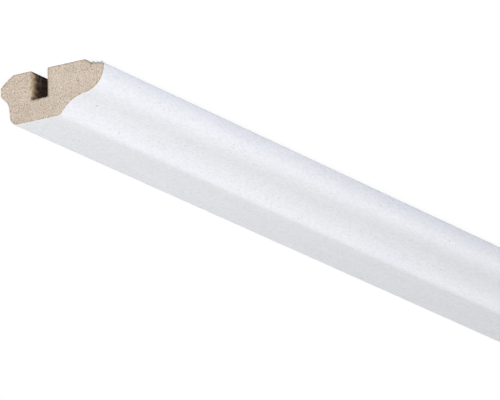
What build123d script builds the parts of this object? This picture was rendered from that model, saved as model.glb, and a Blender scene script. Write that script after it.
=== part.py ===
"""Cornice moulding: one length of foil-wrapped fibreboard trim.

A strip is milled from fibreboard to an ogee profile, grooved in its back for clips
and wrapped in white decor foil. It lies on its back, as it would on a level floor.

Frame, in millimetres: +X runs along the length and +Z points from the back to the
face. +Y points from the nose to the ogee. The origin is at mid-length, in the middle
of the overall width, on the plane of the back.
"""

import os
from math import acos, cos, degrees, radians, tan

from build123d import *

# Stock
length = 2600.0
overall_width = 38.0
board_thickness = 16.0
foil_thickness = 0.3

# Clip groove, milled into the back along the whole length
groove_width = 5.7
groove_depth = 9.1
groove_from_nose = 14.4

# Nose side, from the back up: bevel, nose, bead, slope, cove and leaning side
bevel_run = 4.5
bevel_angle = 37.0
nose_height = 2.2
bead_radius = 1.5
slope_run = 1.4
slope_angle = 45.0
cove_radius = 4.0
side_lean = 6.0
side_corner_radius = 2.8

# Ogee side, from the back up: land, convex sweep, ramp, concave sweep and edge of the flat
ogee_foot = 2.7
ogee_land = 0.3
ogee_convex_radius = 7.5
ogee_ramp = 2.0
ogee_slope = 10.0
ogee_concave_radius = 11.5
ogee_edge_radius = 1.5

# Relief under the ogee, where the edge of the foil is tucked away from the back
shelf_width = 4.5
shelf_angle = 12.0
shelf_corner_radius = 0.35
relief_angle = 37.0
foil_tuck = 4.2

# Edges and heights that follow from these sizes
nose_edge = foil_thickness - overall_width / 2
ogee_edge = overall_width / 2 - foil_thickness
groove_centre = groove_from_nose - overall_width / 2
bevel_top = bevel_run * tan(radians(bevel_angle))
tuck_end = (ogee_edge - foil_tuck, ogee_foot - foil_tuck * tan(radians(shelf_angle)))
shelf_end = (ogee_edge - shelf_width, ogee_foot - shelf_width * tan(radians(shelf_angle)))
relief_run = shelf_end[1] / tan(radians(relief_angle))

# The part of the profile that the foil covers, seen along the length
with BuildLine() as covered_outline:
    nose = Line((nose_edge, bevel_top), (nose_edge, bevel_top + nose_height))
    bead = JernArc(nose @ 1, nose % 1, bead_radius, slope_angle - 90)
    slope = PolarLine(bead @ 1, slope_run, slope_angle, length_mode=LengthMode.HORIZONTAL)
    cove = JernArc(slope @ 1, slope % 1, cove_radius, 90 - side_lean - slope_angle)
    side_rise = board_thickness - (cove @ 1).Y
    side = PolarLine(cove @ 1, side_rise, 90 - side_lean, length_mode=LengthMode.VERTICAL)

    # The concave sweep ends where it meets the flat at the full board thickness
    land = Line((ogee_edge, ogee_foot), (ogee_edge, ogee_foot + ogee_land))
    convex = JernArc(land @ 1, land % 1, ogee_convex_radius, 90 - ogee_slope)
    ramp = PolarLine(convex @ 1, ogee_ramp, 180 - ogee_slope)
    sweep_centre = (ramp @ 1).Y + ogee_concave_radius * cos(radians(ogee_slope))
    flat_slope = degrees(acos((sweep_centre - board_thickness) / ogee_concave_radius))
    concave = JernArc(ramp @ 1, ramp % 1, ogee_concave_radius, ogee_slope - flat_slope)

    flat = Line(side @ 1, concave @ 1)
    tuck = Line(land @ 0, tuck_end)
    corners = (
        (side @ 1, side_corner_radius),
        (concave @ 1, ogee_edge_radius),
        (tuck @ 0, shelf_corner_radius),
    )
    for corner, corner_radius in corners:
        vertex = covered_outline.vertices().sort_by_distance(corner)[0]
        fillet(vertex, radius=corner_radius)

section_plane = Plane.YZ.offset(-length / 2)

# Core: the milled fibreboard strip with its clip groove
with BuildPart() as fibreboard_core:
    with BuildSketch(section_plane):
        with BuildLine():
            add(covered_outline.line)
            Polyline(
                tuck_end,
                shelf_end,
                (shelf_end[0] - relief_run, 0),
                (nose_edge + bevel_run, 0),
                (nose_edge, bevel_top),
            )
        make_face()
        with Locations((groove_centre, 0)):
            Rectangle(
                groove_width,
                groove_depth,
                align=(Align.CENTER, Align.MIN),
                mode=Mode.SUBTRACT,
            )
    extrude(amount=length)
fibreboard_core.part.label = "fibreboard_core"

# Foil: a thin skin glued over the covered part of the profile
with BuildPart() as foil_wrap:
    with BuildSketch(section_plane):
        with BuildLine():
            add(covered_outline.line)
            offset(amount=foil_thickness, side=Side.LEFT, closed=True)
        make_face()
    extrude(amount=length)
foil_wrap.part.label = "foil_wrap"

os.makedirs("parts", exist_ok=True)
export_step(fibreboard_core.part, "parts/fibreboard_core.step")
export_step(foil_wrap.part, "parts/foil_wrap.step")
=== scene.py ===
"""Looks of the cornice moulding: finer meshes of both pieces, their finish, camera, floor and light."""

from math import acos, asin, cos, pi, radians, sin, tan

import bpy
from mathutils import Matrix, Vector, noise
from mathutils.geometry import delaunay_2d_cdt


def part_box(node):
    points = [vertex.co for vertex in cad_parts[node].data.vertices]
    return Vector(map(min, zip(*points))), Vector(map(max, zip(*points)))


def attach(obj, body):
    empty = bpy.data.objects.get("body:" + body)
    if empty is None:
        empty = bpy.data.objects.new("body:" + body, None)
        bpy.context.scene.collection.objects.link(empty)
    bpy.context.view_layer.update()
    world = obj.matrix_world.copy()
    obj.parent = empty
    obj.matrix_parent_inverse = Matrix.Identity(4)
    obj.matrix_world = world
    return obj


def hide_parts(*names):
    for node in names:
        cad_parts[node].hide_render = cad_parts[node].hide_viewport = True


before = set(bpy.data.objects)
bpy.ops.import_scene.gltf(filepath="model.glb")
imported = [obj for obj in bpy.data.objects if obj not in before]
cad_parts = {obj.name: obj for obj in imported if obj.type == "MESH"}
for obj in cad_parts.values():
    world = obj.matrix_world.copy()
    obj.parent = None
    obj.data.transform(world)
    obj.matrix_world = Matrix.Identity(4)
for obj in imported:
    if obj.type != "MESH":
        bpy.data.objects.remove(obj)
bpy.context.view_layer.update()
core_low, core_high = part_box("fibreboard_core")
foil_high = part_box("foil_wrap")[1]

MM = 0.001

# Overall sizes, read from the frame
half_length = core_high.x
board_thickness = core_high.z
nose_edge = core_low.y
ogee_edge = core_high.y
foil_thickness = foil_high.z - core_high.z

# Profile of the milled core, as in the part's source
groove_width = 5.7 * MM
groove_depth = 9.1 * MM
groove_from_nose = 14.4 * MM
bevel_run = 4.5 * MM
bevel_angle = radians(37)
nose_height = 2.2 * MM
bead_radius = 1.5 * MM
slope_run = 1.4 * MM
slope_angle = radians(45)
cove_radius = 4.0 * MM
side_lean = radians(6)
side_corner_radius = 2.8 * MM
ogee_foot = 2.7 * MM
ogee_land = 0.3 * MM
ogee_convex_radius = 7.5 * MM
ogee_ramp = 2.0 * MM
ogee_slope = radians(10)
ogee_concave_radius = 11.5 * MM
ogee_edge_radius = 1.5 * MM
shelf_width = 4.5 * MM
shelf_angle = radians(12)
shelf_corner_radius = 0.35 * MM
relief_angle = radians(37)
foil_tuck = 4.2 * MM

# Places in the section that follow from these sizes
bevel_top = bevel_run * tan(bevel_angle)
groove_centre = nose_edge - foil_thickness + groove_from_nose
groove_nose = groove_centre - groove_width / 2
groove_ogee = groove_centre + groove_width / 2

# How finely the outline is divided
arc_step = 0.5 * MM
line_step = 1.5 * MM
raw_step = 0.3 * MM
tuck_step = 0.15 * MM
raw_arc_step = 0.12 * MM
least_arc_steps = 3

# Small roundings on the raw edges of the board, and the slight bulge of the bevel
bevel_corner_radius = 0.8 * MM
bevel_bulge_radius = 26 * MM
groove_nose_radius = 0.45 * MM
groove_ogee_radius = 0.25 * MM
relief_corner_radius = 0.4 * MM
inner_corner_radius = 0.08 * MM


class Outline:
    """A chain of lines and tangent arcs in the section, kept as points with left-hand normals."""

    def __init__(self, start, heading):
        self.tip = Vector(start)
        self.heading = heading
        self.points = [self.tip.copy()]
        self.normals = [self.normal()]

    def normal(self):
        return Vector((-sin(self.heading), cos(self.heading)))

    def keep(self):
        self.points.append(self.tip.copy())
        self.normals.append(self.normal())

    def line(self, length, step=line_step):
        count = max(1, round(length / step))
        direction = Vector((cos(self.heading), sin(self.heading)))
        for _ in range(count):
            self.tip = self.tip + direction * (length / count)
            self.keep()

    def arc(self, radius, turn, step=arc_step):
        """Turns by turn radians on a circle of this radius; a positive turn goes left."""
        count = max(least_arc_steps, round(abs(turn) * radius / step))
        side = 1 if turn > 0 else -1
        centre = self.tip + self.normal() * side * radius
        for _ in range(count):
            self.heading += turn / count
            self.tip = centre - self.normal() * side * radius
            self.keep()


def covered_outline():
    """The foil's bed on the core, from the nose bevel round the face to the end of the tuck."""
    outline = Outline((nose_edge, bevel_top), pi / 2)
    outline.line(nose_height)
    outline.arc(bead_radius, slope_angle - pi / 2)
    outline.line(slope_run / cos(slope_angle))
    outline.arc(cove_radius, pi / 2 - side_lean - slope_angle)

    side_turn = pi / 2 - side_lean
    side_length = (board_thickness - outline.tip.y) / cos(side_lean)
    outline.line(side_length - side_corner_radius * tan(side_turn / 2))
    outline.arc(side_corner_radius, -side_turn)

    # The concave sweep's centre, worked out from the ogee's foot
    ramp_run = ogee_ramp * cos(ogee_slope)
    ramp_rise = ogee_ramp * sin(ogee_slope)
    radii = ogee_convex_radius + ogee_concave_radius
    sweep_y = ogee_edge - ogee_convex_radius + radii * sin(ogee_slope) - ramp_run
    sweep_z = ogee_foot + ogee_land + radii * cos(ogee_slope) + ramp_rise
    reach = ogee_concave_radius + ogee_edge_radius
    edge_turn = acos((sweep_z - board_thickness + ogee_edge_radius) / reach)
    outline.line(sweep_y - reach * sin(edge_turn) - outline.tip.x)
    outline.arc(ogee_edge_radius, -edge_turn)
    outline.arc(ogee_concave_radius, edge_turn - ogee_slope)
    outline.line(ogee_ramp)
    outline.arc(ogee_convex_radius, ogee_slope - pi / 2)

    foot_turn = pi / 2 - shelf_angle
    foot_trim = shelf_corner_radius * tan(foot_turn / 2)
    outline.line(ogee_land - foot_trim)
    outline.arc(shelf_corner_radius, -foot_turn, raw_arc_step)
    outline.line(foil_tuck / cos(shelf_angle) - foot_trim, tuck_step)
    return outline


def raw_outline(start):
    """The bare back of the core, from the end of the tuck to the foot of the nose."""
    shelf_end = Vector((ogee_edge - shelf_width, ogee_foot - shelf_width * tan(shelf_angle)))
    relief_end = Vector((shelf_end.x - shelf_end.y / tan(relief_angle), 0))
    corners = (
        (shelf_end, inner_corner_radius),
        (relief_end, relief_corner_radius),
        (Vector((groove_ogee, 0)), groove_ogee_radius),
        (Vector((groove_ogee, groove_depth)), inner_corner_radius),
        (Vector((groove_nose, groove_depth)), inner_corner_radius),
        (Vector((groove_nose, 0)), groove_nose_radius),
        (Vector((nose_edge + bevel_run, 0)), bevel_corner_radius),
    )
    finish = Vector((nose_edge, bevel_top))
    targets = [place for place, _ in corners] + [finish]

    first = targets[0] - start
    outline = Outline(start, -Vector((1, 0)).angle_signed(first))
    for index, (corner, radius) in enumerate(corners):
        ahead = targets[index + 1] - corner
        direction = Vector((cos(outline.heading), sin(outline.heading)))
        turn = -direction.angle_signed(ahead)
        trim = radius * tan(abs(turn) / 2)
        outline.line((corner - outline.tip).length - trim, raw_step)
        outline.arc(radius, turn, raw_arc_step)

    # The bevel is a flat arc over its straight line
    half_turn = asin((finish - outline.tip).length / (2 * bevel_bulge_radius))
    outline.heading += half_turn
    outline.arc(bevel_bulge_radius, -2 * half_turn, raw_step)
    return outline


def stations():
    """Places along the length: close together at both cut ends and wide apart between them."""
    step = 0.25 * MM
    growth = 1.12
    widest = 12 * MM
    near = [0.0]
    while step < widest:
        near.append(near[-1] + step)
        step *= growth
    middle = half_length - near[-1]
    count = round(2 * middle / widest)
    between = [-middle + 2 * middle * i / count for i in range(1, count)]
    low = [-half_length + place for place in near]
    return low + between + [-place for place in reversed(low)]


def from_end(x):
    """Distance of a place from the nearer cut end."""
    return half_length - abs(x)


# How uneven the raw board is, and how it chipped next to the cut ends, most of all in the groove.
# Sizes are those of the lumps in the noise that shapes the chips.
raw_unevenness = 0.05 * MM
chip_depth = 0.22 * MM
chip_reach = 1.2 * MM
chip_size = 0.45 * MM
chip_stretch = 3
crumb_scale = 1.7
crumb_shift = Vector((7, 3, 5))
groove_chip_depth = 0.8 * MM
groove_chip_size = 0.5 * MM
groove_chip_start = 0.7 * MM

# How deep the saw bit into the edge of a cut end, with the usual and the least share of it
edge_bite = 0.2 * MM
usual_bite = 0.5
least_bite = 0.15

# Lumps of the foil's burr on its tuck next to the cut ends, each with its
# place in from the ogee's edge and its height
burr_lumps = ((0.7 * MM, 0.5 * MM), (2.15 * MM, 0.4 * MM), (3.9 * MM, 0.55 * MM))
burr_width = 1.25 * MM
burr_reach = 2.5 * MM
burr_roughness = 0.8


def chipped(point, normal, x):
    """A point of the raw back, set back by the unevenness of the cut fibres."""
    place = Vector((x / (chip_stretch * chip_size), point.x / chip_size, point.y / chip_size))
    uneven = raw_unevenness * (0.5 + 0.5 * noise.noise(place))
    crumbs = chip_depth * max(0.0, noise.noise(place * crumb_scale + crumb_shift))
    fade = max(0.0, 1 - from_end(x) / chip_reach)
    if 0 < point.x - groove_nose + inner_corner_radius < groove_width - groove_chip_size:
        deep = min(1.0, max(0.0, point.y / groove_chip_start - 1))
        place = Vector((x, point.x, point.y)) / groove_chip_size
        crumbs += groove_chip_depth * deep * abs(noise.noise(place))
    return point - normal * (uneven + crumbs * fade)


def bitten(point, x):
    """How far the saw broke the edge of a cut end back into the board at a point of its outline."""
    place = Vector((x / chip_size, point.x / chip_size, point.y / chip_size))
    return edge_bite * min(1.0, max(least_bite, usual_bite + noise.noise(place)))


def burr(point, x):
    """How far the burr stands off the tuck at a point of its outer face."""
    height = 0.0
    for inset, lump_height in burr_lumps:
        off = (ogee_edge - inset - point.x) / (burr_width / 2)
        height += lump_height * max(0.0, 1 - off * off)
    rough = 1 + noise.noise(Vector((x, point.x, point.y)) / chip_size)
    return height * burr_roughness * rough * max(0.0, 1 - from_end(x) / burr_reach)


# Numbers of the material slots of the foil and of the core
FOIL_FACE, FOIL_EDGE = 0, 1
CUT, MILLED, GROOVE, RIM = 0, 1, 2, 3

# Edges that turn by more than this stay sharp
sharp_angle = radians(38)


def new_object(name, vertices, faces, materials, slots, node):
    """A mesh piece that stands for a node of the frame."""
    mesh = bpy.data.meshes.new(name)
    mesh.from_pydata(vertices, [], faces)
    for material in materials:
        mesh.materials.append(material)
    mesh.polygons.foreach_set("material_index", slots)
    mesh.shade_smooth()
    mesh.set_sharp_from_angle(angle=sharp_angle)
    mesh.update()
    piece = bpy.data.objects.new(name, mesh)
    bpy.context.scene.collection.objects.link(piece)
    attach(piece, "root")
    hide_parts(node)
    return piece


def make_foil(material, edge_material):
    """The foil, from its outer face and its glued face, closed at the cut ends and along its edges."""
    bed = covered_outline()
    inner = bed.points
    outer = [point + normal * foil_thickness for point, normal in zip(bed.points, bed.normals)]
    tuck_start = ogee_edge - shelf_corner_radius
    facing_down = -0.5

    def ring_at(x):
        """One section of the foil, with a burr on its tuck next to a cut end."""
        face = []
        for point, normal in zip(outer, bed.normals):
            if normal.y < facing_down and point.x < tuck_start:
                point = point + normal * burr(point, x)
            face.append(point)
        return face + inner[::-1]

    places = stations()
    vertices = [(x, point.x, point.y) for x in places for point in ring_at(x)]

    size = 2 * len(inner)
    faces, slots = [], []
    for station in range(len(places) - 1):
        here, there = station * size, (station + 1) * size
        for i in range(size):
            j = (i + 1) % size
            faces.append((here + i, there + i, there + j, here + j))
            slots.append(FOIL_EDGE if i == len(inner) - 1 else FOIL_FACE)
    last = (len(places) - 1) * size
    for i in range(len(inner) - 1):
        opposite = size - 1 - i
        faces.append((i, i + 1, opposite - 1, opposite))
        faces.append((last + i + 1, last + i, last + opposite, last + opposite - 1))
        slots += [FOIL_EDGE, FOIL_EDGE]
    materials = [material, edge_material]
    return new_object("foil_skin", vertices, faces, materials, slots, "foil_wrap")


# How the saw left the cut ends: the depth and size of their grain, how its finer waves follow,
# and the even triangular grid that it is made on
cut_depth = 0.09 * MM
cut_grain = 0.5 * MM
grain_falloff = 0.8
grain_steps = 2.0
grain_octaves = 3
cut_grid = 0.32 * MM
cut_row = 0.866 * cut_grid
cut_margin = 0.6 * cut_grid
merge_distance = 1e-7


def inside(point, ring):
    """True where a point of the section lies in the ring."""
    crossings = 0
    for a, b in zip(ring, ring[1:] + ring[:1]):
        if (a.y > point.y) != (b.y > point.y):
            if point.x < a.x + (b.x - a.x) * (point.y - a.y) / (b.y - a.y):
                crossings += 1
    return crossings % 2 == 1


def cut_face(ring):
    """Triangles over the section, with a fine grid of inner points for the roughness of the cut.

    Also gives the places of their corners and, for each, the numbers of the points that it
    comes from, counted with the ring's points first."""
    columns = int((ogee_edge - nose_edge) / cut_grid)
    rows = int(board_thickness / cut_row)
    inner = []
    for row in range(rows + 1):
        for column in range(columns + 1):
            shift = 0.5 * (row % 2)
            place = Vector((nose_edge + (column + shift) * cut_grid, row * cut_row))
            if inside(place, ring):
                inner.append(place)
    least = cut_margin * cut_margin
    far = [p for p in inner if all((p - q).length_squared > least for q in ring)]
    ring_face = list(range(len(ring)))
    only_inside = 1
    result = delaunay_2d_cdt(list(ring) + far, [], [ring_face], only_inside, merge_distance)
    places, _, triangles, sources = result[:4]
    return places, triangles, sources


def make_core(cut_material, rim_material, milled_material, groove_material):
    """The fibreboard strip, swept between its cut ends, which have the grain of a sawn board."""
    bed = covered_outline()
    raw = raw_outline(bed.tip)
    covered = bed.points[:-1]
    raw_points = list(zip(raw.points[:-1], raw.normals[:-1]))
    groove_foot = 0.05 * MM
    torn_band = 0.8 * MM

    def ring_at(x):
        return covered + [chipped(point, normal, x) for point, normal in raw_points]

    places = stations()
    rings = [ring_at(x) for x in places]
    vertices = [(x, point.x, point.y) for x, ring in zip(places, rings) for point in ring]
    size = len(rings[0])
    swept = len(vertices)
    plain = covered + raw.points[:-1]

    def surface(i, j):
        """The material of a swept face, from where its middle lies on the plain outline."""
        middle = (plain[i] + plain[j]) / 2
        in_groove = abs(middle.x - groove_centre) < groove_width / 2 + groove_nose_radius
        return GROOVE if in_groove and middle.y > groove_foot and i >= len(covered) else MILLED

    def end_slot(first):
        """The material of a triangle of a cut end, from the lowest of its point numbers."""
        if first >= swept:
            return CUT
        place = first % size
        point = plain[place]
        beside = abs(point.x - groove_nose) < torn_band
        between = torn_band < point.y < groove_depth - torn_band
        patch = noise.noise(Vector((0, point.x, point.y)) / torn_band) > 0
        return GROOVE if beside and between and patch and place >= len(covered) else RIM

    faces, slots = [], []
    for station in range(len(places) - 1):
        here, there = station * size, (station + 1) * size
        for i in range(size):
            j = (i + 1) % size
            faces.append((here + i, there + i, there + j, here + j))
            slots.append(surface(i, j))

    for end, ring in ((0, rings[0]), (len(places) - 1, rings[-1])):
        x = places[end]
        inward = 1 if end == 0 else -1
        for i, point in enumerate(ring):
            vertices[end * size + i] = (x + inward * bitten(point, x), point.x, point.y)
        points, triangles, sources = cut_face(ring)
        names = []
        for point, source in zip(points, sources):
            if source and min(source) < size:
                names.append(end * size + min(source))
                continue
            place = Vector((x, point.x, point.y)) / cut_grain
            grain = noise.fractal(place, grain_falloff, grain_steps, grain_octaves)
            names.append(len(vertices))
            vertices.append((x + inward * cut_depth * min(1, abs(grain)), point.x, point.y))
        for triangle in triangles:
            corners = [names[i] for i in triangle]
            faces.append(corners[::-1] if end == 0 else corners)
            slots.append(end_slot(min(corners)))
    materials = [cut_material, milled_material, groove_material, rim_material]
    return new_object("core_strip", vertices, faces, materials, slots, "fibreboard_core")


class Shader:
    """A node material, built node by node around one Principled shader."""

    def __init__(self, name):
        self.material = bpy.data.materials.new(name)
        self.material.use_nodes = True
        self.tree = self.material.node_tree
        self.tree.nodes.clear()
        self.surface = self.node("ShaderNodeBsdfPrincipled")
        self.output = self.node("ShaderNodeOutputMaterial")
        self.link(self.surface.outputs["BSDF"], self.output.inputs["Surface"])
        self.place = self.node("ShaderNodeTexCoord").outputs["Object"]

    def node(self, kind, **settings):
        made = self.tree.nodes.new(kind)
        for key, value in settings.items():
            setattr(made, key, value)
        return made

    def link(self, source, target):
        self.tree.links.new(source, target)

    def feed(self, socket, value):
        """Puts a number, a colour or another node's output into a socket."""
        if isinstance(value, bpy.types.NodeSocket):
            self.link(value, socket)
        else:
            socket.default_value = value

    def finish(self, colour, roughness, specular):
        """Sets what the surface looks like; each value is plain or another node's output."""
        self.feed(self.surface.inputs["Base Color"], colour)
        self.feed(self.surface.inputs["Roughness"], roughness)
        self.feed(self.surface.inputs["Specular IOR Level"], specular)

    def stretched(self, x, y, z):
        """Object coordinates times a scale per axis, in cells per metre."""
        mapping = self.node("ShaderNodeMapping")
        self.link(self.place, mapping.inputs["Vector"])
        mapping.inputs["Scale"].default_value = (x, y, z)
        return mapping.outputs["Vector"]

    def noise(self, vector, scale=1.0, detail=2.0, roughness=0.5):
        made = self.node("ShaderNodeTexNoise")
        self.link(vector, made.inputs["Vector"])
        made.inputs["Scale"].default_value = scale
        made.inputs["Detail"].default_value = detail
        made.inputs["Roughness"].default_value = roughness
        return made.outputs["Fac"]

    def cells(self, vector, scale):
        """Distance to, and random colour of, the nearest point of a scattered set."""
        made = self.node("ShaderNodeTexVoronoi")
        self.link(vector, made.inputs["Vector"])
        made.inputs["Scale"].default_value = scale
        return made.outputs["Distance"], made.outputs["Color"]

    def span(self, value, low, high, to_low=0.0, to_high=1.0):
        """Maps low..high to to_low..to_high and clamps."""
        made = self.node("ShaderNodeMapRange")
        self.feed(made.inputs["Value"], value)
        made.inputs["From Min"].default_value = low
        made.inputs["From Max"].default_value = high
        made.inputs["To Min"].default_value = to_low
        made.inputs["To Max"].default_value = to_high
        return made.outputs["Result"]

    def math(self, operation, first, second=0.0):
        made = self.node("ShaderNodeMath", operation=operation)
        self.feed(made.inputs[0], first)
        self.feed(made.inputs[1], second)
        return made.outputs["Value"]

    def millimetres(self, axis):
        """The object coordinate along one axis, in millimetres."""
        made = self.node("ShaderNodeSeparateXYZ")
        self.link(self.place, made.inputs["Vector"])
        return self.math("MULTIPLY", made.outputs[axis], 1 / MM)

    def first(self, colour):
        """The first channel of a random colour."""
        made = self.node("ShaderNodeSeparateColor")
        self.link(colour, made.inputs["Color"])
        return made.outputs["Red"]

    def mix(self, factor, first, second):
        made = self.node("ShaderNodeMix", data_type="RGBA")
        self.feed(made.inputs["Factor"], factor)
        self.feed(made.inputs["A"], first)
        self.feed(made.inputs["B"], second)
        return made.outputs["Result"]

    def bump(self, height, distance, strength=1.0):
        made = self.node("ShaderNodeBump")
        self.link(height, made.inputs["Height"])
        made.inputs["Distance"].default_value = distance
        made.inputs["Strength"].default_value = strength
        self.link(made.outputs["Normal"], self.surface.inputs["Normal"])


def linear(red, green, blue):
    """A colour written as 0 to 255 screen values, as the linear values that a shader takes."""
    def channel(value):
        value /= 255
        return value / 12.92 if value <= 0.04045 else ((value + 0.055) / 1.055) ** 2.4
    return (channel(red), channel(green), channel(blue), 1.0)


# Shades of the bare board: light, middle and dark
cut_shades = linear(253, 240, 224), linear(220, 203, 184), linear(148, 126, 103)
rim_shades = linear(212, 198, 181), linear(176, 160, 141), linear(112, 94, 75)
milled_shades = linear(222, 202, 174), linear(206, 184, 155), linear(180, 157, 128)
torn_shades = linear(243, 219, 186), linear(226, 199, 161), linear(184, 151, 112)
# The groove's walls further in: the cutter's scorching, darkened more by painted shade
scorched_and_shaded_shades = linear(127, 107, 89), linear(101, 81, 66), linear(72, 56, 44)

# How far the fibres and the foil's grain stand out
fibre_height = 0.08 * MM
foil_edge_height = 0.05 * MM
foil_grain_height = 0.006 * MM


def foil_material():
    """White decor foil: satin, with pale clouds, clusters of fine pores and rare dust."""
    shader = Shader("white_foil_finish")
    clean = linear(239, 240, 244)
    shade = linear(237, 238, 243)
    pore_grey = linear(150, 150, 156)
    dust = linear(70, 66, 66)
    grain_strength = 0.16
    pore_strength = 0.42
    dust_strength = 0.65
    grain_share = 0.5

    # Clouds, grain and clusters are drawn out along the length
    cloud = shader.noise(shader.stretched(30, 170, 170), detail=3, roughness=0.6)
    grain = shader.noise(shader.stretched(600, 1700, 1700), detail=2, roughness=0.6)
    cluster = shader.noise(shader.stretched(38, 330, 330), detail=2, roughness=0.6)
    crowded = shader.span(cluster, 0.47, 0.62)

    # Pores of different sizes, kept where the clusters are
    pore_distance, pore_kind = shader.cells(shader.stretched(950, 1450, 1450), 1)
    pore_size = shader.span(shader.first(pore_kind), 0.35, 1.0, 0.0, 0.36)
    pore = shader.span(shader.math("SUBTRACT", pore_distance, pore_size), -0.12, 0.06, 1, 0)
    pore = shader.math("MULTIPLY", pore, crowded)

    # Dust, on some of the points of a wide scatter
    dust_distance, dust_kind = shader.cells(shader.place, 42)
    rare = shader.math("GREATER_THAN", shader.first(dust_kind), 0.62)
    speck = shader.math("MULTIPLY", shader.span(dust_distance, 0.008, 0.016, 1, 0), rare)

    colour = shader.mix(shader.span(cloud, 0.35, 0.65), clean, shade)
    colour = shader.mix(shader.span(grain, 0.4, 0.75, 0, grain_strength), colour, pore_grey)
    colour = shader.mix(shader.math("MULTIPLY", pore, pore_strength), colour, pore_grey)
    colour = shader.mix(shader.math("MULTIPLY", speck, dust_strength), colour, dust)
    shader.finish(colour, roughness=shader.span(grain, 0.3, 0.7, 0.42, 0.52), specular=0.4)
    height = shader.math("SUBTRACT", shader.math("MULTIPLY", grain, grain_share), pore)
    shader.bump(height, foil_grain_height)
    return shader.material


def foil_edge_material():
    """The foil where it was cut: cream paper with glue, greyer and dirtier under the ogee."""
    shader = Shader("white_foil_cut_edge")
    paper = linear(254, 250, 242)
    glue = linear(246, 240, 230)
    dirt_grey = linear(150, 143, 136)

    # The dirt fades between these heights, in millimetres
    foot, foot_fade = 2.4, 3.4
    mottle = shader.noise(shader.place, 1500, detail=2, roughness=0.6)
    low = shader.span(shader.millimetres("Z"), foot, foot_fade, 1.0, 0.1)
    dirt = shader.math("MULTIPLY", shader.span(mottle, 0.35, 0.55, 0.35, 1.0), low)
    colour = shader.mix(shader.span(mottle, 0.35, 0.65), paper, glue)
    colour = shader.mix(dirt, colour, dirt_grey)
    shader.finish(colour, roughness=0.8, specular=0.2)
    shader.bump(mottle, foil_edge_height)
    return shader.material


def fibre_colour(shader, shades, fleck_amount):
    """Pressed wood fibres with darker and lighter flecks: their colour and their height."""
    light, middle, dark = shades
    warm_tint = linear(227, 203, 174)
    grey_tint = linear(212, 200, 184)
    fleck_brown = linear(134, 105, 75)
    bright_cream = linear(252, 242, 226)
    tint_strength = 0.4
    patch_strength = 0.2
    bright_amount = 0.5 * fleck_amount

    fibres = shader.noise(shader.place, 2900, detail=2, roughness=0.75)
    tufts = shader.noise(shader.place, 800, detail=2, roughness=0.6)
    patches = shader.noise(shader.place, 130, detail=2)
    tint = shader.noise(shader.place, 520, detail=1, roughness=0.5)
    colour = shader.mix(shader.span(fibres, 0.36, 0.64), dark, light)
    colour = shader.mix(shader.span(tufts, 0.3, 0.7, 0.05, 0.55), colour, middle)
    colour = shader.mix(shader.span(patches, 0.35, 0.65, 0, patch_strength), colour, dark)
    colour = shader.mix(shader.span(tint, 0.5, 0.75, 0, tint_strength), colour, warm_tint)
    colour = shader.mix(shader.span(tint, 0.5, 0.25, 0, tint_strength), colour, grey_tint)

    # Dark flecks, then fewer bright ones, each on some of the points of a scatter
    fleck_distance, fleck_kind = shader.cells(shader.place, 1500)
    picked = shader.math("GREATER_THAN", shader.first(fleck_kind), 0.72)
    fleck = shader.span(fleck_distance, 0.1, 0.46, fleck_amount, 0)
    colour = shader.mix(shader.math("MULTIPLY", fleck, picked), colour, fleck_brown)
    bright_distance, bright_kind = shader.cells(shader.place, 1100)
    picked = shader.math("GREATER_THAN", shader.first(bright_kind), 0.85)
    bright = shader.span(bright_distance, 0.1, 0.36, bright_amount, 0)
    colour = shader.mix(shader.math("MULTIPLY", bright, picked), colour, bright_cream)
    return colour, fibres


def board_material(name, shades, fleck_amount):
    """Bare fibreboard in its light, middle and dark shades."""
    shader = Shader(name)
    colour, fibres = fibre_colour(shader, shades, fleck_amount)
    shader.finish(colour, roughness=0.9, specular=0.2)
    shader.bump(fibres, fibre_height)
    return shader.material


def groove_material():
    """The groove's walls: torn, paler fibres at the cut ends, darker inward by scorching and painted
    shade.

    Its bounds are in millimetres, inward from the nearer cut end or up from the back."""
    shader = Shader("board_groove")
    # Colours of painted shade for the groove's mouth and towards its floor
    mouth_shade = linear(40, 31, 25)
    groove_bottom_shade = linear(70, 54, 42)
    # The walls darken by painted shade between these two distances inward
    torn_end, full_shade_start = 1.0, 3.4
    raggedness = 1.3
    mouth_height = 1.8
    mouth_shift = 0.8

    torn, fibres = fibre_colour(shader, torn_shades, fleck_amount=0.4)
    scorched_and_shaded, _ = fibre_colour(shader, scorched_and_shaded_shades, fleck_amount=0.08)
    height = shader.millimetres("Z")
    along = shader.math("ABSOLUTE", shader.millimetres("X"))
    ragged = shader.noise(shader.stretched(250, 900, 900), detail=3, roughness=0.6)
    wander = shader.span(ragged, 0.25, 0.75, -raggedness, raggedness)
    inward = shader.math("ADD", shader.math("SUBTRACT", half_length / MM, along), wander)
    inward = shader.math("ADD", inward, shader.span(height, 0, mouth_height, mouth_shift, 0))
    # Painted shade: the walls darken inward from the torn fibres, over the cutter's scorching
    colour = shader.mix(shader.span(inward, torn_end, full_shade_start), torn, scorched_and_shaded)

    # Painted shade along the groove's mouth and towards its floor
    mouth = shader.span(height, 0.4, 1.0, 0.8, 0)
    mouth_shade_share = shader.math("MULTIPLY", mouth, shader.span(inward, 0.6, 1.6))
    colour = shader.mix(mouth_shade_share, colour, mouth_shade)
    colour = shader.mix(shader.span(height, 7.9, 8.9, 0, 0.7), colour, groove_bottom_shade)
    shader.finish(colour, roughness=0.85, specular=0.2)
    shader.bump(fibres, fibre_height)
    return shader.material


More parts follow.
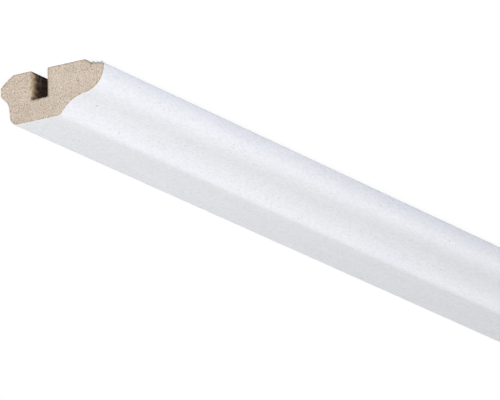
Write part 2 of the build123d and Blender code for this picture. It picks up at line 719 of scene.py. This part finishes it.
def floor_material():
    """Pale floor: white to the camera, with the object's shadow kept, and plain pale to the light."""
    shader = Shader("floor_finish")
    pale = (0.75, 0.79, 0.87, 1)
    white_glow = 1.06
    glow_share = 0.9
    shader.finish(pale, roughness=1.0, specular=0.0)
    glow = shader.node("ShaderNodeEmission")
    glow.inputs["Strength"].default_value = white_glow
    path = shader.node("ShaderNodeLightPath")
    seen = shader.math("MAXIMUM", path.outputs["Is Camera Ray"], path.outputs["Is Glossy Ray"])
    seen = shader.math("MAXIMUM", seen, path.outputs["Is Transmission Ray"])
    mix = shader.node("ShaderNodeMixShader")
    shader.link(shader.math("MULTIPLY", seen, glow_share), mix.inputs["Fac"])
    shader.link(shader.surface.outputs["BSDF"], mix.inputs[1])
    shader.link(glow.outputs["Emission"], mix.inputs[2])
    shader.link(mix.outputs["Shader"], shader.output.inputs["Surface"])
    return shader.material


def make_floor():
    """A wide level floor at height 0, which only stages the part."""
    half = 20.0
    mesh = bpy.data.meshes.new("floor")
    corners = [(-half, -half, 0), (half, -half, 0), (half, half, 0), (-half, half, 0)]
    mesh.from_pydata(corners, [], [(0, 1, 2, 3)])
    mesh.materials.append(floor_material())
    floor = bpy.data.objects.new("floor", mesh)
    bpy.context.scene.collection.objects.link(floor)


def make_world(strength):
    """Even light from all round, which the camera and reflections see as plain white."""
    world = bpy.data.worlds.new("studio")
    world.use_nodes = True
    bpy.context.scene.world = world
    tree = world.node_tree
    background = tree.nodes["Background"]
    background.inputs["Color"].default_value = (1, 1, 1, 1)
    path = tree.nodes.new("ShaderNodeLightPath")
    seen = tree.nodes.new("ShaderNodeMath")
    seen.operation = "MAXIMUM"
    tree.links.new(path.outputs["Is Camera Ray"], seen.inputs[0])
    tree.links.new(path.outputs["Is Glossy Ray"], seen.inputs[1])
    both = tree.nodes.new("ShaderNodeMath")
    both.operation = "MAXIMUM"
    tree.links.new(seen.outputs[0], both.inputs[0])
    tree.links.new(path.outputs["Is Transmission Ray"], both.inputs[1])
    level = tree.nodes.new("ShaderNodeMapRange")
    tree.links.new(both.outputs[0], level.inputs["Value"])
    level.inputs["To Min"].default_value = strength
    level.inputs["To Max"].default_value = 1.0
    tree.links.new(level.outputs["Result"], background.inputs["Strength"])


def make_lamp(name, target, azimuth, elevation, distance, width, height, power):
    """A soft box that points at the target. Angles are in degrees; azimuth 0 is +X and 90 is +Y."""
    azimuth, elevation = radians(azimuth), radians(elevation)
    lamp = bpy.data.lights.new(name, "AREA")
    lamp.shape = "RECTANGLE"
    lamp.size = width
    lamp.size_y = height
    lamp.energy = power
    away = Vector((cos(elevation) * cos(azimuth), cos(elevation) * sin(azimuth), sin(elevation)))
    holder = bpy.data.objects.new(name, lamp)
    holder.location = Vector(target) + away * distance
    holder.rotation_euler = away.to_track_quat("Z", "Y").to_euler()
    bpy.context.scene.collection.objects.link(holder)


def make_camera():
    """The photograph's long-lens view of the near end, with the back at the top of the picture."""
    aim = Vector((-1189.90, 0.0, 14.05)) * MM
    distance = 2341.9 * MM
    elevation = radians(17.528)
    heading = radians(-32.365)
    roll = radians(178.956)
    camera = bpy.data.cameras.new("camera")
    camera.lens = 539.04
    camera.sensor_width = 36
    camera.clip_end = 100
    holder = bpy.data.objects.new("camera", camera)
    forward = Vector((cos(elevation) * cos(heading), cos(elevation) * sin(heading), -sin(elevation)))
    level = forward.cross(Vector((0, 0, 1))).normalized()
    upright = level.cross(forward)
    right = level * cos(roll) + upright * sin(roll)
    up = right.cross(forward)
    turn = Matrix((right, up, -forward)).transposed()
    holder.matrix_world = Matrix.Translation(aim - forward * distance) @ turn.to_4x4()
    bpy.context.scene.collection.objects.link(holder)
    bpy.context.scene.camera = holder


make_core(
    board_material("board_cut", cut_shades, fleck_amount=0.65),
    board_material("board_cut_rim", rim_shades, fleck_amount=0.6),
    board_material("board_milled", milled_shades, fleck_amount=0.35),
    groove_material(),
)
make_foil(foil_material(), foil_edge_material())
make_floor()
make_world(strength=0.19)

# Three lamps for the end in the photograph and three for the rest of the length, each with its
# name, target, azimuth, elevation, distance, width, height and power
near_end = (-half_length, 0, 0)
past_middle = (0.6, 0, 0)
far_part = (0.9, 0, 0)
far_end = (half_length, 0, 0)
lamps = (
    ("key", near_end, 110, 51, 1.0, 0.5, 0.5, 6.85),
    ("fill", near_end, 170, 55, 1.0, 0.5, 0.5, 0.85),
    ("end_light", near_end, 195, 8, 1.2, 0.6, 0.6, 7.45),
    ("long_key", far_part, 90, 51, 1.2, 1.6, 0.6, 11.5),
    ("nose_light", past_middle, 270, 12, 1.2, 1.4, 0.5, 1.4),
    ("far_light", far_end, -15, 8, 1.2, 0.6, 0.6, 7.5),
)
for lamp in lamps:
    make_lamp(*lamp)

make_camera()
bpy.context.scene.view_settings.view_transform = "Standard"
